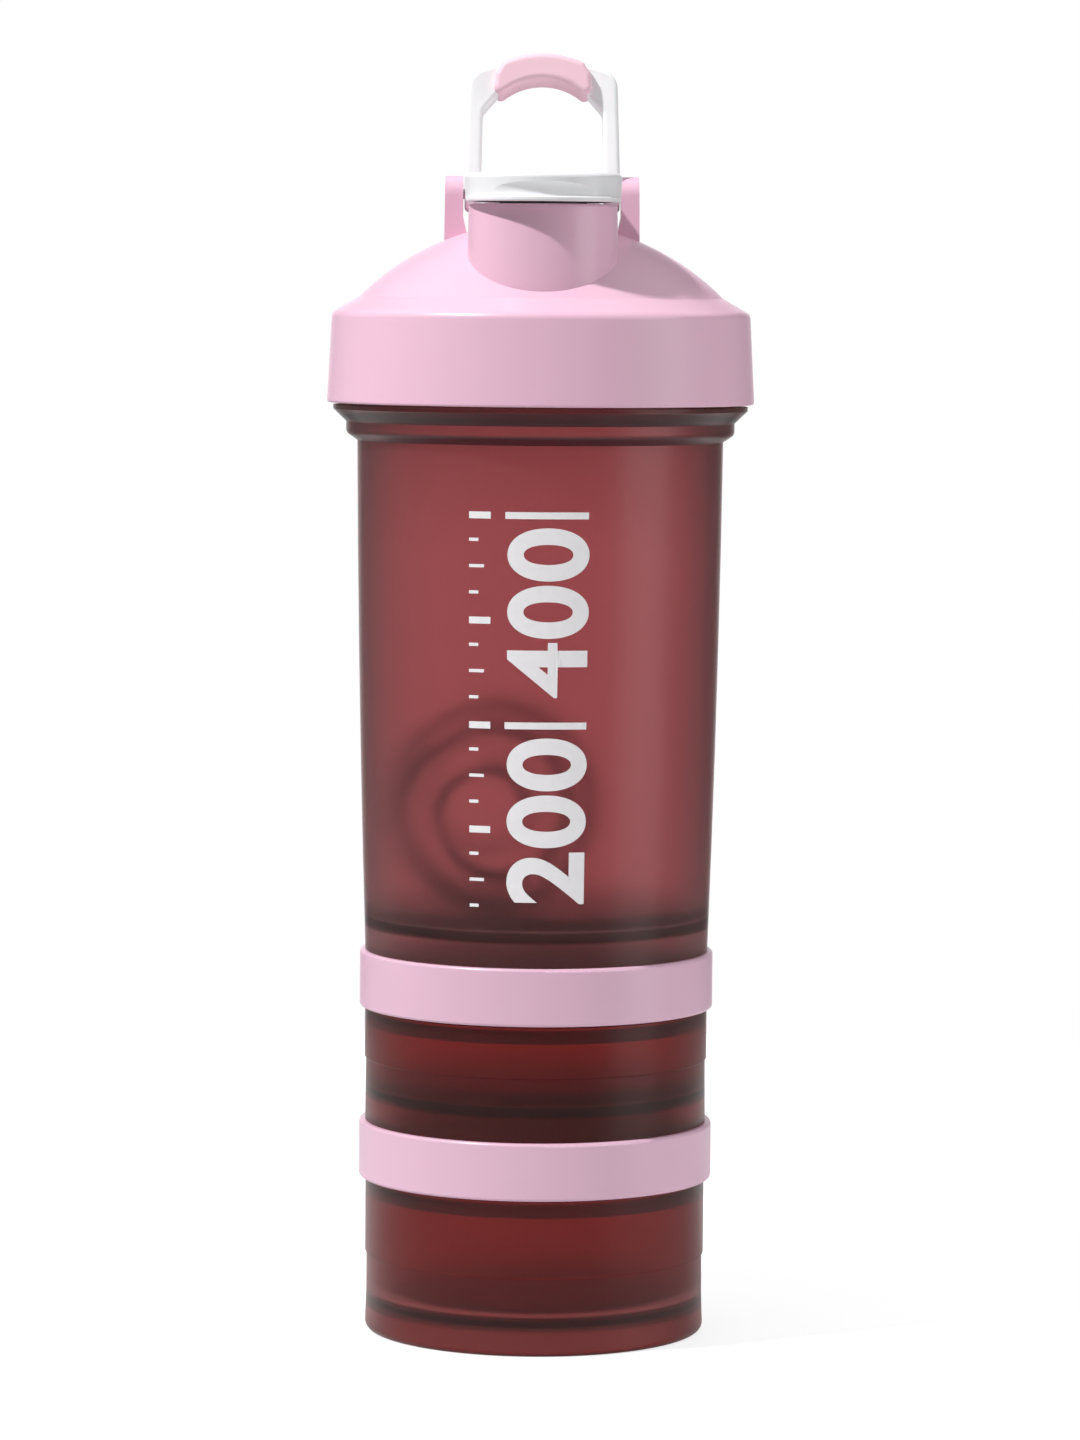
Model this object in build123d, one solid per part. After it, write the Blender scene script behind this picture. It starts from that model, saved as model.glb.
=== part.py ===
from build123d import *
from math import cos, radians, sin, sqrt
import os

# A stacked protein shaker, in mm. +Z is up, the origin is the middle of the foot on the table,
# and the spout faces -Y. From the bottom up: lower jar, lower ring, upper jar, upper ring, cup, lid.

# Heights of the stack
ring_height = 12.7
lower_ring_z = 34.6
upper_ring_z = 72.9
neck_top_z = 223.3
skirt_bottom_z = 207.6
dome_top_z = 247.8

# Walls that the storage jars and the cup's base share
jar_r = 38.3
jar_wall = 1.9
neck_r = 36.1
neck_bore_r = 34.0
step_in = 0.3
floor_thick = 2.0
turning_gap = 0.3
jar_foot_r = 38.0
jar_foot_inner_r = 34.0
jar_foot_height = 5.8
jar_foot_draft = 1.0
jar_foot_round = 1.6
lower_step_z = 17.3
upper_floor_z = 55.0
upper_step_z = 61.2

# Connector rings
ring_r = 39.5
ring_bore_r = 37.9
ring_round = 0.7
web_z = 6.0
web_thick = 1.4
gasket_thick = 1.0
gasket_inner_r = 33.4
gasket_outer_r = 36.9

# Cup
cup_foot_r = 38.3
cup_middle_r = 39.8
cup_top_r = 40.7
cup_middle_z = 139.8
cup_top_z = 199.2
cup_wall = 1.9
cup_floor_z = 93.4
cup_floor_thick = 2.3
floor_round = 4.0
collar_r = 43.2
collar_low_z = 200.9
collar_high_z = 203.4
collar_round = 1.4
flange_r = 46.1
flange_z = 206.2
flange_top_z = 207.1
cup_neck_r = 42.4
cup_mouth_r = 40.2

# Lid
skirt_r = 47.5
skirt_round = 0.5
shoulder_r = 46.45
shoulder_z = 227.55
shoulder_round = 2.0
dome_edge_r = 40.4
dome_r = 57.0
lid_wall = 2.2
skirt_bore_r = 44.7
ledge_r = 38.9
seal_outer_r = 44.4
seal_thick = 1.6

# Spout tower
tower_y = -22.5
tower_top_r = 16.2
tower_base_r = 16.7
tower_top_z = 251.3
tower_bore_r = 14.0
tower_round = 0.6
spout_r = 8.1

# Hinge of the flip cap and the carry loop
hinge_y = 2.0
hinge_z = 253.8
ear_inner_x = 17.5
ear_outer_x = 21.7
ear_foot_x = 16.7
ear_depth = 8.0
ear_foot_z = 239.8
ear_slope_z = (245.3, 248.8)
ear_flare = 0.6
ear_taper = 0.2
cutter_half = 25.0
pin_r = 1.1
pin_half = 21.0
tight_fit = 0.02
running_fit = 0.05

# Flip cap
cap_top_r = 17.3
cap_bottom_r = 16.9
cap_bottom_z = 251.75
cap_top_z = 258.0
cap_round = 1.1
cap_lip_round = 0.4
cap_shell = 2.3
cap_bore_r = 14.9
cap_arm_half = 12.6
barrel_r = 3.2
scoop_depth = 1.3
scoop_half = 12.0
scoop_tube = 3.0
scoop_z = 253.7
lip_reach = 3.0
lip_thick = 1.1
plug_r = 9.5
plug_nose_r = 7.5
plug_tip_r = 6.9
plug_nose_z = 249.1
plug_gap = 0.1
plug_round = 0.6

# Carry loop, measured from the hinge along its own height
loop_tilt = 8.0
leg_outer_x = 17.2
leg_inner_x = 13.7
leg_depth = 8.0
leg_round = 1.0
same_place = 0.001
shortest_rounded = 2.0
loop_shoulder = (16.5, 26.4)
loop_shoulder_r = 4.5
loop_top = (11.0, 28.4)
loop_top_middle = 29.2
loop_corner = (13.3, 18.0)
loop_corner_r = 2.5
loop_arch = (11.0, 20.6)
loop_arch_middle = 26.0
grip_end = (11.3, 19.0)
grip_side = (10.5, 26.2)
grip_shoulder = (9.0, 28.7)
grip_bottom = 25.0
grip_top = 30.7
grip_depth = 13.0
grip_corner = 1.5
grip_round = 1.2

# Whisk ball: round wire on a sphere, its poles facing front and back
ball_r = 24.2
wire_r = 1.05
ball_x = -10.0
ball_y = 6.0
ball_loops = (22, 50, 78, 106, 134, 160)
hoop_share = 0.85

# Screw threads, all right-handed with one start
lid_lead = 6.0
ring_lead = 4.0
thread_bury = 0.5
thread_gap = 0.3


def rounded(face, *corners):
    """The flat face with each corner, given as a point and a radius, rounded off."""
    for point, radius in corners:
        face = fillet(face.vertices().sort_by_distance((*point, 0))[0], radius)
    return face


def turned(*curves, rounds=()):
    """The solid that a closed outline of (radius, height) curves makes about the Z axis."""
    return revolve(Plane.XZ * rounded(make_face(curves), *rounds), Axis.Z)


def tube(outer, inner, low, high):
    """A straight tube about the Z axis between two heights."""
    return turned(Polyline((inner, low), (outer, low), (outer, high), (inner, high), close=True))


def rod(radius, half_length, y, z):
    """A round bar across the object, along X."""
    return Pos(0, y, z) * Rot(0, 90, 0) * Cylinder(radius, 2 * half_length)


def on_sphere(radius, r):
    """The point at distance r from the axis on a sphere of the dome's centre."""
    return (r, dome_top_z - dome_r + sqrt(radius**2 - r**2))


def dome_arc(radius, edge):
    """The arc of that sphere from the axis out to the edge."""
    return ThreePointArc(on_sphere(radius, 0), on_sphere(radius, edge / 2), on_sphere(radius, edge))


def ridge(wall_r, depth, lead, turns, z, width, angle=0, inward=False):
    """One thread ridge that starts at height z, standing off a wall by depth, in or out."""
    side = -1 if inward else 1
    path = Helix(pitch=lead, height=lead * turns, radius=wall_r)
    section = Plane(origin=path @ 0, x_dir=(1, 0, 0), z_dir=path % 0) * make_face(
        Polyline(
            (-thread_bury * side, -width / 2),
            (depth * side, -width / 4),
            (depth * side, width / 4),
            (-thread_bury * side, width / 2),
            close=True,
        )
    )
    return Rot(0, 0, angle) * Pos(0, 0, z) * sweep(section, path=path, is_frenet=True)


def mating_angle(male_z, female_z, lead, drop):
    """How far to turn an inside ridge so that it runs drop below the outside ridge it grips."""
    return 360 * (female_z + drop - male_z) / lead


# One outside and inside ridge for the lid, and one pair for every ring
lid_thread = {"depth": 1.4, "width": 2.8, "turns": 1.25}
lid_thread_in = {"depth": 1.8, "width": 2.8, "turns": 1.25}
ring_thread = {"depth": 1.2, "width": 1.8, "turns": 0.75}
ring_thread_in = {"depth": 1.2, "width": 1.8, "turns": 0.7}
touching = 0.75  # how far apart two ridges touch, as a share of their width at the root
lid_drop = touching * lid_thread["width"] + thread_gap
ring_drop = touching * ring_thread["width"] + thread_gap
lid_male_z = 211.3
lid_female_z = 210.3
neck_thread_z = 1.1
neck_grip_z = 1.0
base_thread_z = web_z + web_thick + 1.2
base_grip_z = web_z + web_thick + 1.3


def neck_ridge(z):
    """The thread on a jar's neck, under the ring at height z."""
    return ridge(neck_r, lead=ring_lead, z=z + neck_thread_z, **ring_thread)


def base_ridge(z):
    """The thread on the base of a cup or jar, in the top of the ring at height z."""
    return ridge(neck_r, lead=ring_lead, z=z + base_thread_z, **ring_thread)


def connector_ring(z):
    """A ring that screws onto the jar below and the base above, with a web that lids the jar."""
    shell = turned(
        Polyline(
            (ring_bore_r, 0),
            (ring_r, 0),
            (ring_r, ring_height),
            (ring_bore_r, ring_height),
            (ring_bore_r, web_z + web_thick),
            (0, web_z + web_thick),
            (0, web_z),
            (ring_bore_r, web_z),
            close=True,
        ),
        rounds=[((ring_r, 0), ring_round), ((ring_r, ring_height), ring_round)],
    )
    grip = mating_angle(neck_thread_z, neck_grip_z, ring_lead, ring_drop)
    hold = mating_angle(base_thread_z, base_grip_z, ring_lead, -ring_drop)
    low = ridge(ring_bore_r, lead=ring_lead, z=neck_grip_z, angle=grip, inward=True, **ring_thread_in)
    high = ridge(ring_bore_r, lead=ring_lead, z=base_grip_z, angle=hold, inward=True, **ring_thread_in)
    return Pos(0, 0, z) * (shell + low + high)


def jar_gasket(z):
    """A flat silicone washer under a ring's web, on the rim of the jar."""
    return tube(gasket_outer_r, gasket_inner_r, z + web_z - gasket_thick, z + web_z)


def jar_inside(floor_z, shoulder_z, rim_z):
    """The hollow of a jar, from its rim down to a rounded floor."""
    inner_r = jar_r - jar_wall
    return turned(
        Polyline(
            (0, floor_z),
            (inner_r, floor_z),
            (inner_r, shoulder_z - 2 * jar_wall),
            (neck_bore_r, shoulder_z - jar_wall / 2),
            (neck_bore_r, rim_z),
            (0, rim_z),
            close=True,
        ),
        rounds=[((inner_r, floor_z), floor_round)],
    )


def lower_jar():
    """The bottom storage jar, standing on a narrow foot."""
    shoulder = lower_ring_z - turning_gap
    rim = lower_ring_z + web_z - gasket_thick
    body = turned(
        Polyline(
            (0, jar_foot_height),
            (jar_foot_inner_r - jar_foot_draft, jar_foot_height),
            (jar_foot_inner_r, 0),
            (jar_foot_r, 0),
            (jar_r - 2 * step_in, lower_step_z / 2),
            (jar_r - 2 * step_in, lower_step_z),
            (jar_r - step_in, lower_step_z + step_in),
            (jar_r - step_in, shoulder),
            (neck_r, shoulder),
            (neck_r, rim),
            (0, rim),
            close=True,
        ),
        rounds=[((jar_foot_r, 0), jar_foot_round)],
    )
    hollow = jar_inside(jar_foot_height + floor_thick, shoulder, rim)
    return body - hollow + neck_ridge(lower_ring_z)


def upper_jar():
    """The middle storage jar, whose threaded base sits in the lower ring."""
    base = lower_ring_z + web_z + web_thick
    low = lower_ring_z + ring_height
    shoulder = upper_ring_z - turning_gap
    rim = upper_ring_z + web_z - gasket_thick
    under_z = upper_floor_z - floor_thick
    body = turned(
        Polyline(
            (0, under_z),
            (neck_bore_r, under_z),
            (neck_bore_r, base),
            (neck_r, base),
            (neck_r, low),
            (jar_r - step_in / 2, low),
            (jar_r - step_in, upper_step_z),
            (jar_r, upper_step_z + step_in),
            (jar_r, shoulder),
            (neck_r, shoulder),
            (neck_r, rim),
            (0, rim),
            close=True,
        )
    )
    hollow = jar_inside(upper_floor_z, shoulder, rim)
    return body - hollow + neck_ridge(upper_ring_z) + base_ridge(lower_ring_z)


def shaker_cup():
    """The tall cup: threaded base, slightly bulged wall, collar, flange and threaded neck."""
    base = upper_ring_z + web_z + web_thick
    low = upper_ring_z + ring_height
    under_z = cup_floor_z - cup_floor_thick
    inner_foot_r, inner_middle_r, inner_top_r = (
        r - cup_wall for r in (cup_foot_r, cup_middle_r, cup_top_r)
    )
    outside = turned(
        Polyline(
            (0, under_z),
            (neck_bore_r, under_z),
            (neck_bore_r, base),
            (neck_r, base),
            (neck_r, low),
            (cup_foot_r, low),
        ),
        ThreePointArc((cup_foot_r, low), (cup_middle_r, cup_middle_z), (cup_top_r, cup_top_z)),
        Polyline(
            (cup_top_r, cup_top_z),
            (collar_r, collar_low_z),
            (collar_r, collar_high_z),
            (flange_r, flange_z),
            (flange_r, flange_top_z),
            (cup_neck_r, flange_top_z),
            (cup_neck_r, neck_top_z),
            (0, neck_top_z),
            (0, under_z),
        ),
        rounds=[((collar_r, collar_low_z), collar_round)],
    )
    inside = turned(
        ThreePointArc(
            (inner_foot_r, cup_floor_z), (inner_middle_r, cup_middle_z), (inner_top_r, cup_top_z)
        ),
        Polyline(
            (inner_top_r, cup_top_z),
            (cup_mouth_r, flange_z),
            (cup_mouth_r, neck_top_z),
            (0, neck_top_z),
            (0, cup_floor_z),
            (inner_foot_r, cup_floor_z),
        ),
        rounds=[((inner_foot_r, cup_floor_z), floor_round)],
    )
    neck = ridge(cup_neck_r, lead=lid_lead, z=lid_male_z, **lid_thread)
    return outside - inside + neck + base_ridge(upper_ring_z)


def spout_hole(radius, low, high):
    """A round hole about the spout's axis."""
    return Pos(0, tower_y, 0) * tube(radius, 0, low, high)


def hinge_ears():
    """Two upright ears with round tops that carry the hinge pin."""
    half = ear_depth / 2
    slope_low, slope_high = ear_slope_z
    side = make_face(
        Polyline(
            (ear_foot_x - ear_flare, ear_foot_z),
            (ear_outer_x, ear_foot_z),
            (ear_outer_x - ear_taper, hinge_z + half),
            (ear_inner_x, hinge_z + half),
            (ear_inner_x, slope_high),
            (ear_foot_x, slope_low),
            close=True,
        )
    )
    ear = Pos(0, hinge_y, 0) * extrude(Plane.XZ * side, half, both=True)
    block = Box(2 * cutter_half, ear_depth, hinge_z - ear_foot_z)
    block = Pos(0, hinge_y, (ear_foot_z + hinge_z) / 2) * block
    ear = ear & (block + rod(half, cutter_half, hinge_y, hinge_z))
    return ear + mirror(ear, Plane.YZ)


def screw_lid():
    """The domed lid: skirt, shoulder, dome, spout tower and hinge ears, with its inside thread."""
    ledge_z = neck_top_z + seal_thick
    outside = turned(
        Polyline(
            (0, skirt_bottom_z),
            (skirt_r, skirt_bottom_z),
            (shoulder_r, shoulder_z),
            (dome_edge_r, on_sphere(dome_r, dome_edge_r)[1]),
        ),
        dome_arc(dome_r, dome_edge_r),
        Line(on_sphere(dome_r, 0), (0, skirt_bottom_z)),
        rounds=[((shoulder_r, shoulder_z), shoulder_round), ((skirt_r, skirt_bottom_z), skirt_round)],
    )
    inner_r = dome_r - lid_wall
    inside = turned(
        Polyline(
            (0, skirt_bottom_z),
            (skirt_bore_r, skirt_bottom_z),
            (skirt_bore_r, ledge_z),
            (ledge_r, ledge_z),
            on_sphere(inner_r, ledge_r),
        ),
        dome_arc(inner_r, ledge_r),
        Line(on_sphere(inner_r, 0), (0, skirt_bottom_z)),
    )
    tower = Cone(tower_base_r, tower_top_r, tower_top_z - ledge_z)
    tower = fillet(tower.edges().group_by(Axis.Z)[-1], tower_round)
    tower = Pos(0, tower_y, (ledge_z + tower_top_z) / 2) * tower
    hollow = spout_hole(tower_bore_r, ledge_z, tower_top_z - lid_wall)
    mouth = spout_hole(spout_r, ledge_z, tower_top_z)
    pin_hole = rod(pin_r + tight_fit, pin_half + tight_fit, hinge_y, hinge_z)
    grip = mating_angle(lid_male_z, lid_female_z, lid_lead, lid_drop)
    thread = ridge(
        skirt_bore_r, lead=lid_lead, z=lid_female_z, angle=grip, inward=True, **lid_thread_in
    )
    return outside + tower + hinge_ears() - inside - hollow - mouth - pin_hole + thread


def lid_seal():
    """A silicone washer between the cup's rim and the lid's ledge."""
    return tube(seal_outer_r, cup_mouth_r, neck_top_z, neck_top_z + seal_thick)


def cap_scoop():
    """A crescent groove for the thumb that fades out along the cap's round front."""
    chord = cap_top_r - sqrt(cap_top_r**2 - scoop_half**2) - scoop_depth
    inner = (scoop_half**2 + chord**2) / (2 * chord)
    centre_y = tower_y - cap_top_r + scoop_depth + inner
    ring = Pos(0, centre_y, scoop_z) * Torus(inner + scoop_tube, scoop_tube)
    front = Box(2 * cutter_half, 2 * scoop_half, 4 * scoop_tube)
    return ring & Pos(0, tower_y - cap_top_r, scoop_z) * front


def cap_lip():
    """The thin lip under the scoop, which sticks out in front for the thumb."""
    lip_top = cap_bottom_z + lip_thick
    return Pos(0, tower_y - lip_reach, 0) * turned(
        Polyline(
            (0, cap_bottom_z),
            (cap_bottom_r, cap_bottom_z),
            (cap_bottom_r, lip_top),
            (0, lip_top),
            close=True,
        ),
        rounds=[((cap_bottom_r, cap_bottom_z), cap_lip_round), ((cap_bottom_r, lip_top), cap_lip_round)],
    )


def flip_cap():
    """The round cap over the spout, with its arm and the barrel that turns on the pin."""
    disc = turned(
        Polyline(
            (0, cap_bottom_z),
            (cap_bottom_r, cap_bottom_z),
            (cap_top_r, cap_top_z),
            (0, cap_top_z),
            close=True,
        ),
        rounds=[((cap_top_r, cap_top_z), cap_round), ((cap_bottom_r, cap_bottom_z), cap_lip_round)],
    )
    arm_top = hinge_z + barrel_r
    arm = Pos(0, (hinge_y + tower_y) / 2, (cap_bottom_z + arm_top) / 2) * Box(
        2 * cap_arm_half, hinge_y - tower_y, arm_top - cap_bottom_z
    )
    roof_z = cap_top_z - cap_shell
    recess = tube(cap_bore_r, 0, cap_bottom_z, roof_z)
    hole = rod(pin_r + running_fit, 2 * pin_half, hinge_y, hinge_z)
    solid = Pos(0, tower_y, 0) * disc - cap_scoop() + cap_lip()
    solid = solid + arm + rod(barrel_r, cap_arm_half, hinge_y, hinge_z)
    return solid - Pos(0, tower_y, 0) * recess - hole


def spout_plug():
    """A soft plug fixed under the cap, whose nose closes the spout."""
    deck = tower_top_z + plug_gap
    return Pos(0, tower_y, 0) * turned(
        Polyline(
            (0, plug_nose_z),
            (plug_tip_r, plug_nose_z),
            (plug_nose_r, deck),
            (plug_r, deck),
            (plug_r, cap_top_z - cap_shell),
            (0, cap_top_z - cap_shell),
            close=True,
        ),
        rounds=[((plug_tip_r, plug_nose_z), plug_round)],
    )


def flipped(*points):
    """The same points on the other side of the loop, in reverse."""
    return [(-x, z) for x, z in reversed(points)]


def both_sides(radius, *points):
    """One rounding for each point and for its mirror image."""
    return [((side * x, z), radius) for x, z in points for side in (1, -1)]


def face_edges(shape, depth, shortest=0):
    """The edges of a shape's front and back faces, which lie half its depth from the middle."""
    edges = shape.edges().filter_by(lambda e: abs(abs(e.center().Y) - depth / 2) < same_place)
    return edges.filter_by(lambda e: e.length > shortest)


def on_hinge(shape):
    """Stands a shape drawn from the hinge in its place, leaning back by the loop's tilt."""
    return Pos(0, hinge_y, hinge_z) * Rot(-loop_tilt, 0, 0) * shape


def loop_frame():
    """The loop before it leans back: two legs with round eyes and an arched top bar."""
    half = leg_depth / 2
    outer = [(leg_outer_x, -half), (leg_outer_x, half), loop_shoulder, loop_top]
    inner = [(leg_inner_x, -half), loop_corner, loop_arch]
    face = make_face(
        [
            Polyline(*outer),
            ThreePointArc(loop_top, (0, loop_top_middle), (-loop_top[0], loop_top[1])),
            Polyline(*flipped(*outer)),
            Line((-leg_outer_x, -half), (-leg_inner_x, -half)),
            Polyline(*reversed(flipped(*inner))),
            ThreePointArc((-loop_arch[0], loop_arch[1]), (0, loop_arch_middle), loop_arch),
            Polyline(*reversed(inner)),
            Line((leg_inner_x, -half), (leg_outer_x, -half)),
        ]
    )
    corners = both_sides(loop_shoulder_r, loop_shoulder) + both_sides(loop_corner_r, loop_corner)
    face = rounded(face, *corners)
    frame = extrude(Plane.XZ * face, half, both=True)
    above = 2 * loop_top_middle
    above = Pos(0, 0, above / 2) * Box(2 * cutter_half, leg_depth, above)
    return frame & (rod(half, cutter_half, 0, 0) + above)


def carry_loop():
    """The white loop that swings on the hinge pin."""
    frame = loop_frame()
    frame = fillet(face_edges(frame, leg_depth, shortest=shortest_rounded), leg_round)
    return on_hinge(frame - rod(pin_r + running_fit, cutter_half, 0, 0))


def loop_grip():
    """The soft sleeve moulded round the loop's top bar."""
    side = [grip_end, grip_side, grip_shoulder]
    face = make_face(
        [
            Polyline(*side),
            ThreePointArc(grip_shoulder, (0, grip_top), (-grip_shoulder[0], grip_shoulder[1])),
            Polyline(*flipped(*side)),
            ThreePointArc((-grip_end[0], grip_end[1]), (0, grip_bottom), grip_end),
        ]
    )
    face = rounded(face, *both_sides(grip_corner, *side))
    sleeve = extrude(Plane.XZ * face, grip_depth / 2, both=True)
    return on_hinge(fillet(face_edges(sleeve, grip_depth), grip_round)) - carry_loop()


def whisk_ball():
    """A loose ball of round wire, resting on the cup's floor."""
    centre_r = ball_r - wire_r
    loops = [
        Pos(0, -centre_r * cos(radians(a)), 0) * Rot(90, 0, 0) * Torus(centre_r * sin(radians(a)), wire_r)
        for a in ball_loops
    ]
    hoop = Torus(centre_r, wire_r * hoop_share)
    return Pos(ball_x, ball_y, cup_floor_z + ball_r) * (hoop + loops)


def hinge_pin():
    """The steel pin through both ears, the loop's eyes and the cap's barrel."""
    return rod(pin_r, pin_half, hinge_y, hinge_z)


nodes = {
    "lower_jar": lower_jar(),
    "lower_jar_gasket": jar_gasket(lower_ring_z),
    "lower_ring": connector_ring(lower_ring_z),
    "upper_jar": upper_jar(),
    "upper_jar_gasket": jar_gasket(upper_ring_z),
    "upper_ring": connector_ring(upper_ring_z),
    "shaker_cup": shaker_cup(),
    "whisk_ball": whisk_ball(),
    "lid_seal": lid_seal(),
    "screw_lid": screw_lid(),
    "hinge_pin": hinge_pin(),
    "flip_cap": flip_cap(),
    "spout_plug": spout_plug(),
    "carry_loop": carry_loop(),
    "loop_grip": loop_grip(),
}

os.makedirs("parts", exist_ok=True)
for name, shape in nodes.items():
    export_step(shape, f"parts/{name}.step")
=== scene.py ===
import math

import bmesh
import bpy
from mathutils import Matrix, Vector
from mathutils.bvhtree import BVHTree


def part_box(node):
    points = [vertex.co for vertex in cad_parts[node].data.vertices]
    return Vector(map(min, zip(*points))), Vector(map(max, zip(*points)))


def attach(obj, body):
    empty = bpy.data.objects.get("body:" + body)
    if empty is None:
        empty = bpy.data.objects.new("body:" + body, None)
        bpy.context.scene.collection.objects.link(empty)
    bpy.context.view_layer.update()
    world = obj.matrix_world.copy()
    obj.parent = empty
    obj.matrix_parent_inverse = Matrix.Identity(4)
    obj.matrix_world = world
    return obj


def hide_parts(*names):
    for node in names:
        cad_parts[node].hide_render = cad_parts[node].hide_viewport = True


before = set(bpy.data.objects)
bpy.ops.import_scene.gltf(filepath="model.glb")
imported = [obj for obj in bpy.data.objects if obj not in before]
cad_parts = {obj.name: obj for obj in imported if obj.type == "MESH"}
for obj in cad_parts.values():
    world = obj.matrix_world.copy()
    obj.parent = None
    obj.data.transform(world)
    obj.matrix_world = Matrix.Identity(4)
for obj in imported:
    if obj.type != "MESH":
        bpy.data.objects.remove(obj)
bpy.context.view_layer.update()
mm = 0.001


class Val:
    # wraps a socket, so that maths on it adds the nodes
    def __init__(self, tree, socket):
        self.tree = tree
        self.socket = socket

    def math(self, kind, other=None, swap=False):
        pair = [self, other] if other is not None else [self]
        pair = pair[::-1] if swap else pair
        return self.tree.node("ShaderNodeMath", {"operation": kind}, dict(enumerate(pair)))

    def __add__(self, other):
        return self.math("ADD", other)

    def __mul__(self, other):
        return self.math("MULTIPLY", other)

    def __sub__(self, other):
        return self.math("SUBTRACT", other)

    def __rsub__(self, other):
        return self.math("SUBTRACT", other, swap=True)

    __radd__ = __add__
    __rmul__ = __mul__


class Nodes:
    # one node tree, with one call that adds any node
    def __init__(self, tree):
        self.tree = tree
        tree.nodes.clear()

    def node(self, kind, settings=None, inputs=None, output=0):
        made = self.tree.nodes.new(kind)
        for key, value in (settings or {}).items():
            if key == "stops":
                self.setRamp(made.color_ramp, value)
            else:
                setattr(made, key, value)
        for key, value in (inputs or {}).items():
            if isinstance(value, Val):
                self.tree.links.new(value.socket, made.inputs[key])
            else:
                made.inputs[key].default_value = value
        return Val(self, made.outputs[output]) if len(made.outputs) else None

    def setRamp(self, ramp, stops):
        for place, colour in stops[2:]:
            ramp.elements.new(place)
        for element, (place, colour) in zip(ramp.elements, stops):
            element.position = place
            element.color = (*colour, 1)

    def mixColour(self, factor, first, second):
        settings = {"data_type": "RGBA", "blend_type": "MIX"}
        return self.node("ShaderNodeMix", settings, {0: factor, 6: first, 7: second}, output=2)

    def noise(self, scale, detail=3.0, stretch=(1, 1, 1)):
        place = self.node("ShaderNodeTexCoord", output=3)
        turned = self.node("ShaderNodeMapping", None, {"Vector": place, "Scale": stretch})
        inputs = {"Vector": turned, "Scale": scale, "Detail": detail}
        return self.node("ShaderNodeTexNoise", None, inputs)

    def bump(self, height, distance, strength=1.0):
        inputs = {"Height": height, "Distance": distance, "Strength": strength}
        return self.node("ShaderNodeBump", None, inputs)

    def fade(self, value, start, end, low=0.0, high=1.0):
        # runs smoothly from low to high as the value runs from start to end
        ends = {"Value": value, "From Min": start, "From Max": end, "To Min": low, "To Max": high}
        return self.node("ShaderNodeMapRange", {"interpolation_type": "SMOOTHSTEP"}, ends)

    def height(self):
        place = self.node("ShaderNodeTexCoord", output=3)
        return self.node("ShaderNodeSeparateXYZ", None, {0: place}, output=2)

    def surface(self, sockets):
        shader = self.node("ShaderNodeBsdfPrincipled", None, sockets)
        self.node("ShaderNodeOutputMaterial", None, {"Surface": shader})


def newMaterial(name):
    material = bpy.data.materials.new(name)
    material.use_nodes = True
    return material, Nodes(material.node_tree)


def spread(pattern, middle, width):
    # a value that varies with a pattern, about a middle
    return middle - width / 2 + pattern * width


def wearCoat(node, material):
    # gives the whole of a CAD node this material
    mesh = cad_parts[node].data
    mesh.materials.clear()
    mesh.materials.append(material)


winePlastic = {
    "cup": (0.57, 0.25, 0.262),
    "cupDeep": (0.53, 0.22, 0.237),
    "jar": (0.45, 0.08, 0.08),
    "jarDeep": (0.41, 0.065, 0.068),
    "thickAndShaded": (0.11, 0.028, 0.026),
    "roughness": 0.30,
    "roughnessSpread": 0.04,
    "clearness": 0.95,
    "index": 1.34,
    "cloud": 18.0,
    "cloudStretch": (1, 1, 0.35),
    "grain": 900.0,
    "grainDepth": 0.006 * mm,
    "grainStrength": 0.25,
    # thick places, at the floors, look darker, and the other bands are painted shade and shadow
    # from the lid and the rings. Each has its height above the node's low end or, if negative,
    # below its high end, then its half height, soft edge and how dark it is. Lengths are in mm
    # on the cup: the floor's edge where the plastic is thick, a painted shade band at the collar
    # under the lid, and painted shade that deepens towards the top, under the lid
    "cupBands": [(11.95, 0.9, 0.8, 0.9), (-16.0, 2.6, 2.0, 0.5), (-0.5, 20.0, 32.0, 0.15)],
    # on each jar: the floor's edge where the plastic is thick, and a thin painted shadow just
    # below the jar's top, under the ring
    "upperJarBands": [(12.0, 0.8, 0.9, 0.88), (-5.5, 0.1, 0.5, 0.2)],
    "lowerJarBands": [(6.8, 0.8, 1.0, 0.88), (-5.5, 0.1, 0.5, 0.2)],
}


def translucentPlastic(name, shade, node):
    material, n = newMaterial(name + "Wine")
    low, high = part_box(node)
    cloud = n.noise(winePlastic["cloud"], 2.0, winePlastic["cloudStretch"])
    grain = n.noise(winePlastic["grain"], 2.0)
    height = n.height()
    dark = 0.0
    # darkens the base colour in bands: thick plastic at the floors, and painted shade and shadow
    # from the lid and the rings
    for offset, half, soft, share in winePlastic[name + "Bands"]:
        middle = offset * mm + (low.z if offset > 0 else high.z)
        away = (height - middle).math("ABSOLUTE")
        dark = n.fade(away, half * mm, (half + soft) * mm, share, 0.0).math("MAXIMUM", dark)
    tint = n.mixColour(cloud, (*winePlastic[shade], 1), (*winePlastic[shade + "Deep"], 1))
    n.surface({
        # the dark colour mixed in here is thick plastic at the floors and painted shade and shadow
        # in the other bands
        "Base Color": n.mixColour(dark, tint, (*winePlastic["thickAndShaded"], 1)),
        "Roughness": spread(cloud, winePlastic["roughness"], winePlastic["roughnessSpread"]),
        "Transmission Weight": winePlastic["clearness"],
        "IOR": winePlastic["index"],
        "Normal": n.bump(grain, winePlastic["grainDepth"], winePlastic["grainStrength"]),
    })
    return material


mouldedPlastic = {
    "cloud": 26.0,
    "grain": 1400.0,
    "grainDepth": 0.006 * mm,
    "roughness": 0.32,
    "roughnessSpread": 0.04,
    "softness": 0.12,
    "softDepth": (1.2 * mm, 0.8 * mm, 0.8 * mm),
}


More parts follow.
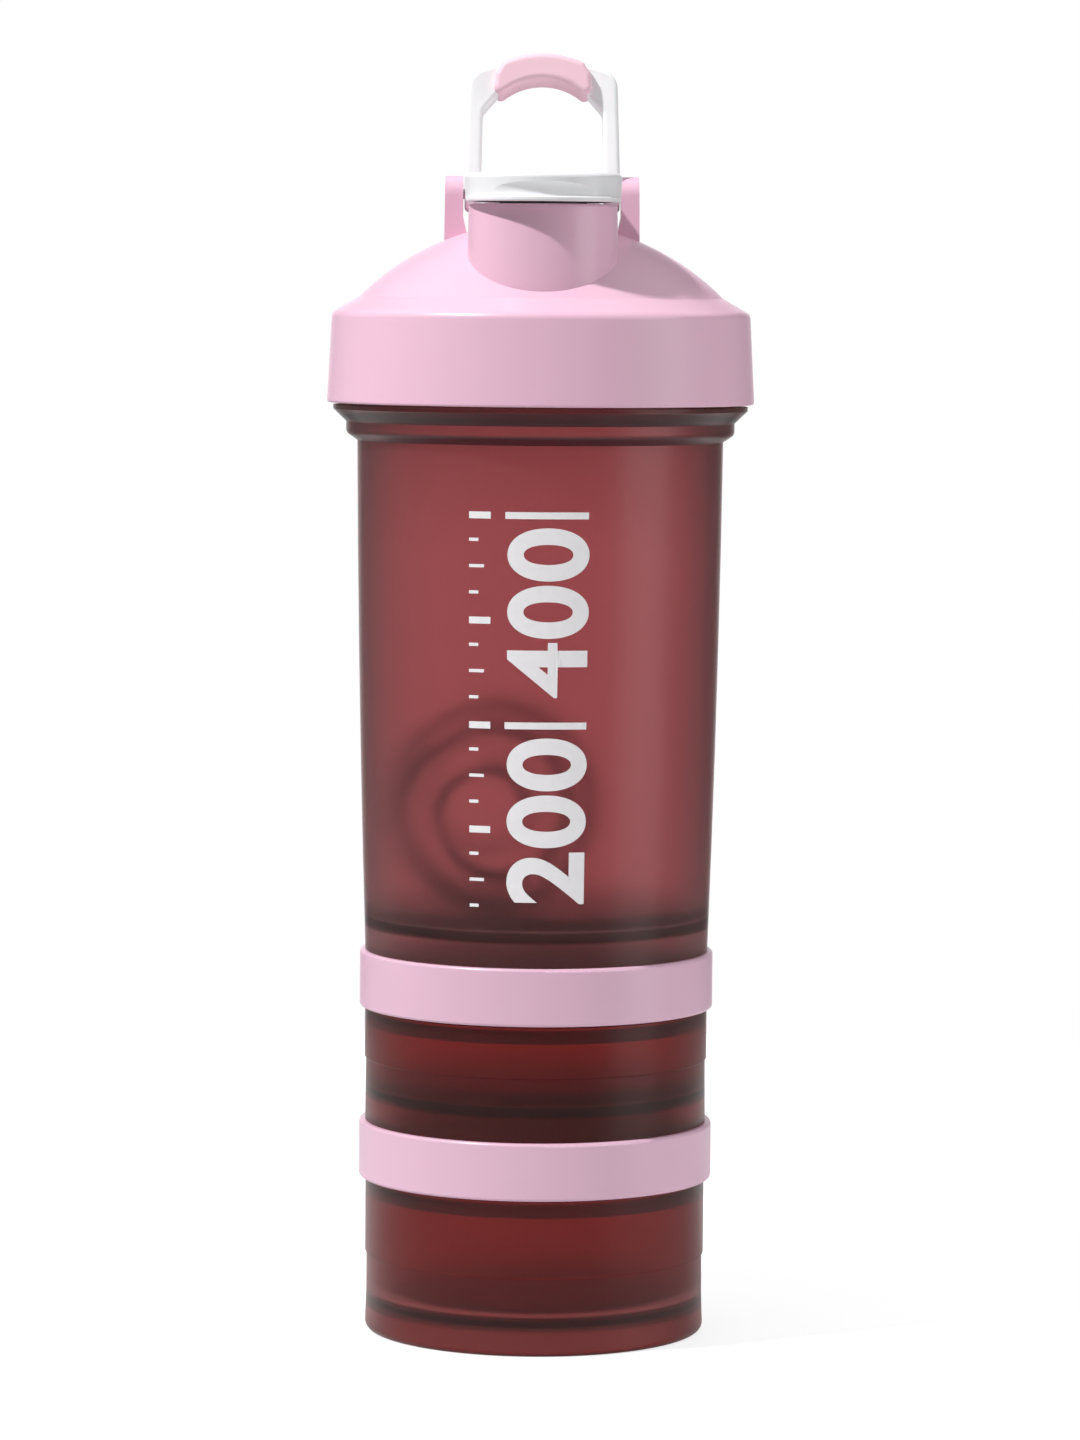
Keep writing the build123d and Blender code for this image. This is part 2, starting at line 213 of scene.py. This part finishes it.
def satinPlastic(name, light, deep):
    material, n = newMaterial(name)
    cloud = n.noise(mouldedPlastic["cloud"])
    grain = n.noise(mouldedPlastic["grain"], 2.0)
    n.surface({
        "Base Color": n.mixColour(cloud, (*light, 1), (*deep, 1)),
        "Roughness": spread(cloud, mouldedPlastic["roughness"], mouldedPlastic["roughnessSpread"]),
        "Normal": n.bump(grain, mouldedPlastic["grainDepth"], 0.5),
        "Subsurface Weight": mouldedPlastic["softness"],
        "Subsurface Radius": mouldedPlastic["softDepth"],
    })
    return material


gripRubber = {
    "cloud": 40.0,
    "grain": 2200.0,
    "grainDepth": 0.03 * mm,
    "roughness": 0.56,
    "roughnessSpread": 0.12,
}


def softRubber(name, light, deep):
    material, n = newMaterial(name)
    cloud = n.noise(gripRubber["cloud"])
    grain = n.noise(gripRubber["grain"])
    n.surface({
        "Base Color": n.mixColour(cloud, (*light, 1), (*deep, 1)),
        "Roughness": spread(cloud, gripRubber["roughness"], gripRubber["roughnessSpread"]),
        "Normal": n.bump(grain, gripRubber["grainDepth"], 0.6),
    })
    return material


silicone = {
    "light": (0.86, 0.87, 0.88),
    "deep": (0.78, 0.79, 0.81),
    "cloud": 60.0,
    "roughness": 0.47,
    "roughnessSpread": 0.1,
    "clearness": 0.25,
}


def siliconeRubber(name):
    material, n = newMaterial(name)
    cloud = n.noise(silicone["cloud"], 2.0)
    n.surface({
        "Base Color": n.mixColour(cloud, (*silicone["light"], 1), (*silicone["deep"], 1)),
        "Roughness": spread(cloud, silicone["roughness"], silicone["roughnessSpread"]),
        "Transmission Weight": silicone["clearness"],
    })
    return material


steelWire = {
    "light": (0.62, 0.62, 0.63),
    "deep": (0.48, 0.48, 0.50),
    "streak": 700.0,
    "detail": 3.0,
    "roughness": 0.27,
    "roughnessSpread": 0.14,
    "metallic": 1.0,
}
screenInk = {
    "light": (0.93, 0.92, 0.93),
    "deep": (0.84, 0.82, 0.84),
    "streak": 420.0,
    "detail": 4.0,
    "roughness": 0.44,
    "roughnessSpread": 0.12,
    "metallic": 0.0,
}
fineDepth = 0.01 * mm  # of the wire's streaks and of the ink's wear


def streakedSurface(name, setup):
    # steel wire and printed ink, each with one fine pattern
    material, n = newMaterial(name)
    streak = n.noise(setup["streak"], setup["detail"])
    n.surface({
        "Base Color": n.mixColour(streak, (*setup["light"], 1), (*setup["deep"], 1)),
        "Metallic": setup["metallic"],
        "Roughness": spread(streak, setup["roughness"], setup["roughnessSpread"]),
        "Normal": n.bump(streak, fineDepth, 0.4),
    })
    return material


print("finishes")
cupFinish = translucentPlastic("cup", "cup", "shaker_cup")
upperJarFinish = translucentPlastic("upperJar", "jar", "upper_jar")
lowerJarFinish = translucentPlastic("lowerJar", "jar", "lower_jar")
lidFinish = satinPlastic("lidPink", (0.82, 0.515, 0.65), (0.78, 0.485, 0.615))
ringFinish = satinPlastic("ringPink", (0.77, 0.495, 0.625), (0.725, 0.46, 0.585))
loopFinish = satinPlastic("loopWhite", (0.93, 0.93, 0.94), (0.89, 0.89, 0.91))
capFinish = satinPlastic("capWhite", (0.86, 0.86, 0.87), (0.81, 0.81, 0.83))
gripFinish = softRubber("gripPink", (0.90, 0.60, 0.69), (0.85, 0.55, 0.64))
sealFinish = siliconeRubber("clearSilicone")
steelFinish = streakedSurface("drawnSteel", steelWire)
inkFinish = streakedSurface("whiteInk", screenInk)

finishOf = {
    "shaker_cup": cupFinish,
    "upper_jar": upperJarFinish,
    "lower_jar": lowerJarFinish,
    "screw_lid": lidFinish,
    "upper_ring": ringFinish,
    "lower_ring": ringFinish,
    "flip_cap": capFinish,
    "carry_loop": loopFinish,
    "loop_grip": gripFinish,
    "hinge_pin": steelFinish,
    "spout_plug": sealFinish,
    "lid_seal": sealFinish,
    "upper_jar_gasket": sealFinish,
    "lower_jar_gasket": sealFinish,
}
for node, finish in finishOf.items():
    wearCoat(node, finish)


def addPiece(name, mesh, material, body):
    piece = bpy.data.objects.new(name, mesh)
    bpy.context.scene.collection.objects.link(piece)
    mesh.materials.clear()
    mesh.materials.append(material)
    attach(piece, body)
    return piece


def meshFromCurve(curve):
    # a curve's or a text's mesh, with the curve thrown away
    holder = bpy.data.objects.new("holder", curve)
    bpy.context.scene.collection.objects.link(holder)
    bpy.context.view_layer.update()
    graph = bpy.context.evaluated_depsgraph_get()
    mesh = bpy.data.meshes.new_from_object(holder.evaluated_get(graph))
    bpy.data.objects.remove(holder)
    return mesh


def smoothFaces(mesh):
    for face in mesh.polygons:
        face.use_smooth = True


# one wire wound round a sphere, with its poles to the front and back
whiskBall = {
    "wire": 1.05 * mm,
    "turns": 5.3,
    "pole": 17.0,  # degrees from the pole to the wire's end
    "stepsPerTurn": 28,
    "roundness": 4,
    "smoothness": 3,
}


def makeWhiskBall():
    low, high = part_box("whisk_ball")
    centre = (low + high) / 2
    reach = (high.x - low.x) / 2 - whiskBall["wire"]
    curve = bpy.data.curves.new("whiskWire", "CURVE")
    curve.dimensions = "3D"
    curve.bevel_depth = whiskBall["wire"]
    curve.bevel_resolution = whiskBall["roundness"]
    curve.resolution_u = whiskBall["smoothness"]
    curve.use_fill_caps = True
    count = int(whiskBall["turns"] * whiskBall["stepsPerTurn"])
    spline = curve.splines.new("NURBS")
    spline.points.add(count)
    for i, point in enumerate(spline.points):
        share = i / count
        polar = math.radians(whiskBall["pole"] + share * (180 - 2 * whiskBall["pole"]))
        turn = share * whiskBall["turns"] * 2 * math.pi
        out = reach * math.sin(polar)
        place = Vector((out * math.cos(turn), -reach * math.cos(polar), out * math.sin(turn)))
        point.co = (*(centre + place), 1)
    spline.use_endpoint_u = True
    spline.order_u = 4
    mesh = meshFromCurve(curve)
    smoothFaces(mesh)
    ball = addPiece("whiskWire", mesh, steelFinish, "whisk_ball")
    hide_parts("whisk_ball")


print("whisk ball")
makeWhiskBall()


# the scale printed on the cup's front, with numbers that read upwards
cupScale = {
    "column": (-7.7 * mm, 10.1 * mm),
    "ticks": -15.4 * mm,
    "longTick": 4.6 * mm,
    "middleTick": 3.2 * mm,
    "shortTick": 2.0 * mm,
    "bar": 1.5 * mm,
    "thin": 0.7 * mm,
    "gap": 1.9 * mm,
    "bolder": 0.65 * mm,
    "capShare": 0.712,
    "ink": 0.05 * mm,
    "stand": 0.03 * mm,
    "innerRadius": 37.4 * mm,
    "outerRadius": 40.0 * mm,
    "most": 400,
    "every": 25,
    "numbered": 200,
    "letterGap": 1.07,
    "sharpest": 0.15,  # keeps a sharp corner's point short
}
printMesh = {
    "longest": 0.9 * mm,
    "rounds": 3,
    "merge": 0.001 * mm,
    "rimMerge": 0.1 * mm,
    "castFrom": 80 * mm,
}


def width(edge):
    return abs(edge.verts[0].co.x - edge.verts[1].co.x)


def wrapOnCup(mesh, tree):
    # lays a flat print, drawn across X and up Z, on the cup's front wall
    bm = bmesh.new()
    bm.from_mesh(mesh)
    bmesh.ops.triangulate(bm, faces=bm.faces[:])
    for _ in range(printMesh["rounds"]):
        long = [edge for edge in bm.edges if width(edge) > printMesh["longest"]]
        bmesh.ops.subdivide_edges(bm, edges=long, cuts=1)
        bmesh.ops.triangulate(bm, faces=bm.faces[:])
    bmesh.ops.remove_doubles(bm, verts=bm.verts[:], dist=printMesh["merge"])
    for vertex in bm.verts:
        across, up = vertex.co.x, vertex.co.z
        angle = math.asin(across / cupScale["outerRadius"])
        outward = Vector((math.sin(angle), -math.cos(angle), 0))
        start = outward * printMesh["castFrom"] + Vector((0, 0, up))
        hit = tree.ray_cast(start, -outward)[0]
        vertex.co = hit + outward * cupScale["stand"]
    bmesh.ops.recalc_face_normals(bm, faces=bm.faces[:])
    for face in bm.faces:
        middle = face.calc_center_median()
        if face.normal.dot(Vector((middle.x, middle.y, 0))) < 0:
            face.normal_flip()
    bmesh.ops.solidify(bm, geom=bm.faces[:], thickness=-cupScale["ink"])
    bmesh.ops.recalc_face_normals(bm, faces=bm.faces[:])
    bm.to_mesh(mesh)
    bm.free()
    return mesh


def flatBar(bm, left, right, up, height):
    made = bmesh.ops.create_grid(bm, x_segments=12, y_segments=1, size=0.5)
    place = Matrix.Translation(((left + right) / 2, 0, up))
    turn = Matrix.Rotation(math.radians(90), 4, "X")
    size = Matrix.Diagonal((right - left, height, 1, 1))
    bmesh.ops.transform(bm, matrix=place @ turn @ size, verts=made["verts"])


def thicken(mesh, by):
    # moves a flat mesh's rim outwards, so that its strokes are bolder
    bm = bmesh.new()
    bm.from_mesh(mesh)
    bmesh.ops.remove_doubles(bm, verts=bm.verts[:], dist=printMesh["rimMerge"])
    moves = {}
    for vertex in bm.verts:
        rim = [e for e in vertex.link_edges if e.is_boundary]
        if len(rim) != 2:
            continue
        outs = []
        for edge in rim:
            along = (edge.verts[1].co - edge.verts[0].co).normalized()
            out = Vector((along.y, -along.x, 0))
            inside = edge.link_faces[0].calc_center_median() - edge.verts[0].co
            outs.append(out if out.dot(inside) < 0 else -out)
        corner = max(1 + outs[0].dot(outs[1]), cupScale["sharpest"])
        moves[vertex] = by * (outs[0] + outs[1]) / corner
    for vertex, move in moves.items():
        vertex.co += move
    bm.to_mesh(mesh)
    bm.free()
    return mesh


def uprightNumber(text, top):
    # a flat number that reads upwards, fills the column's width and ends at the given height
    left, right = cupScale["column"]
    words = bpy.data.curves.new("number", "FONT")
    words.body = text
    words.size = (right - left - 2 * cupScale["bolder"]) / cupScale["capShare"]
    words.align_x = "RIGHT"
    words.space_character = cupScale["letterGap"]
    mesh = thicken(meshFromCurve(words), cupScale["bolder"])
    stand = Matrix.Rotation(math.radians(90), 4, "X")
    turn = Matrix.Rotation(math.radians(90), 4, "Z")
    mesh.transform(Matrix.Translation((right - cupScale["bolder"], 0, top)) @ stand @ turn)
    return mesh


def makeScale():
    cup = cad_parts["shaker_cup"].data
    tree = BVHTree.FromPolygons([v.co for v in cup.vertices], [p.vertices for p in cup.polygons])
    left, right = cupScale["column"]
    mlHeight = 1e-6 / (math.pi * cupScale["innerRadius"] ** 2)  # that one millilitre takes
    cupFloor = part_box("whisk_ball")[0].z
    bars = bmesh.new()
    joined = bmesh.new()
    for amount in range(cupScale["every"], cupScale["most"] + 1, cupScale["every"]):
        up = cupFloor + amount * mlHeight
        length = cupScale["shortTick"] if amount % 50 else cupScale["middleTick"]
        height = cupScale["thin"]
        if amount % 100 == 0:
            length = cupScale["longTick"]
            height = cupScale["bar"]
        flatBar(bars, cupScale["ticks"], cupScale["ticks"] + length, up - height / 2, height)
        if amount % cupScale["numbered"] == 0:
            flatBar(bars, left, right, up - cupScale["bar"] / 2, cupScale["bar"])
            joined.from_mesh(uprightNumber(str(amount), up - cupScale["bar"] - cupScale["gap"]))
    barMesh = bpy.data.meshes.new("scaleBars")
    bars.to_mesh(barMesh)
    bars.free()
    addPiece("scaleBars", wrapOnCup(barMesh, tree), inkFinish, "cup")
    numberMesh = bpy.data.meshes.new("scaleNumbers")
    joined.to_mesh(numberMesh)
    joined.free()
    addPiece("scaleNumbers", wrapOnCup(numberMesh, tree), inkFinish, "cup")


print("scale")
makeScale()


studio = {
    "floor": (0.45, 0.45, 0.45),
    "floorRadius": 0.5,
    "floorGlow": 0.74,
    "floorReflects": 0.30,
    "front": 0.13,
    "side": 0.30,
    "rear": 0.12,
    "back": 1.25,
    "top": 0.45,
    "left": 0.10,
    "below": 0.30,
    "keyLight": {
        "place": (-0.74, -0.42, 1.26),
        "aim": (0, 0, 0.2),
        "size": (0.06, 0.06),
        "power": 20.0,
    },
    "softbox": {
        "place": (0.93, -0.37, 0.30),
        "aim": (0, 0, 0.15),
        "size": (0.62, 1.3),
        "power": 4.4,
    },
}
# angles are in degrees
lens = {
    "length": 138.6,
    "distance": 1.235,
    "height": 0.2328,
    "azimuth": 0.6,
    "pitch": 4.44,
    "roll": 0.45,
    "yaw": -0.02,
}


def makeFloor():
    bm = bmesh.new()
    bmesh.ops.create_circle(bm, cap_ends=True, segments=96, radius=studio["floorRadius"])
    mesh = bpy.data.meshes.new("floor")
    bm.to_mesh(mesh)
    bm.free()
    floor = bpy.data.objects.new("floor", mesh)
    bpy.context.scene.collection.objects.link(floor)
    # bright to look at, and dimmer in reflections, so that the plastic near it keeps its colour
    material, n = newMaterial("paleFloor")
    seen, reflected = (
        n.node("ShaderNodeBsdfPrincipled", None, {
            "Base Color": (*studio["floor"], 1),
            "Roughness": 0.7,
            "Emission Color": (1, 1, 1, 1),
            "Emission Strength": studio[glow],
        })
        for glow in ("floorGlow", "floorReflects")
    )
    looking = n.node("ShaderNodeLightPath", output=0)
    shader = n.node("ShaderNodeMixShader", None, {0: looking, 1: reflected, 2: seen})
    n.node("ShaderNodeOutputMaterial", None, {"Surface": shader})
    mesh.materials.append(material)


def makeWorld():
    # plain white to look at; the light it gives depends on the side it comes from
    world = bpy.data.worlds.new("studioWorld")
    bpy.context.scene.world = world
    world.use_nodes = True
    n = Nodes(world.node_tree)
    way = n.node("ShaderNodeTexCoord", output=0)
    x, y, z = (n.node("ShaderNodeSeparateXYZ", None, {0: way}, output=i) for i in range(3))
    glow = n.fade(y, -1.0, 0.3, studio["front"], studio["side"])
    glow = glow + n.fade(y, 0.45, 0.8, 0.0, studio["rear"] - studio["side"])
    glow = glow + n.fade(y, 0.92, 0.985, 0.0, studio["back"] - studio["rear"])
    glow = glow + n.fade(z, 0.4, 1.0, 0.0, studio["top"])
    glow = glow + n.fade(x, 0.2, -1.0, 0.0, studio["left"])
    glow = glow * n.fade(z, -0.5, -0.05, studio["below"], 1.0)
    seen = n.node("ShaderNodeLightPath", output=0)
    strength = glow * (1 - seen) + seen
    light = n.node("ShaderNodeBackground", None, {"Color": (1, 1, 1, 1), "Strength": strength})
    n.node("ShaderNodeOutputWorld", None, {"Surface": light})


def addLight(name):
    setup = studio[name]
    light = bpy.data.lights.new(name, "AREA")
    light.shape = "RECTANGLE"
    light.size, light.size_y = setup["size"]
    light.energy = setup["power"]
    lamp = bpy.data.objects.new(name, light)
    bpy.context.scene.collection.objects.link(lamp)
    lamp.location = setup["place"]
    way = Vector(setup["aim"]) - Vector(setup["place"])
    lamp.rotation_euler = way.to_track_quat("-Z", "Y").to_euler()


def makeCamera():
    data = bpy.data.cameras.new("camera")
    data.lens = lens["length"]
    camera = bpy.data.objects.new("camera", data)
    bpy.context.scene.collection.objects.link(camera)
    side = math.radians(lens["azimuth"])
    away = lens["distance"]
    place = Matrix.Translation((-away * math.sin(side), -away * math.cos(side), lens["height"]))
    turn = Matrix.Rotation(-side + math.radians(lens["yaw"]), 4, "Z")
    tilt = Matrix.Rotation(math.radians(90 - lens["pitch"]), 4, "X")
    lean = Matrix.Rotation(math.radians(lens["roll"]), 4, "Z")
    camera.matrix_world = place @ turn @ tilt @ lean
    bpy.context.scene.camera = camera


print("studio")
makeFloor()
makeWorld()
addLight("keyLight")
addLight("softbox")
makeCamera()
bpy.context.scene.view_settings.view_transform = "Standard"
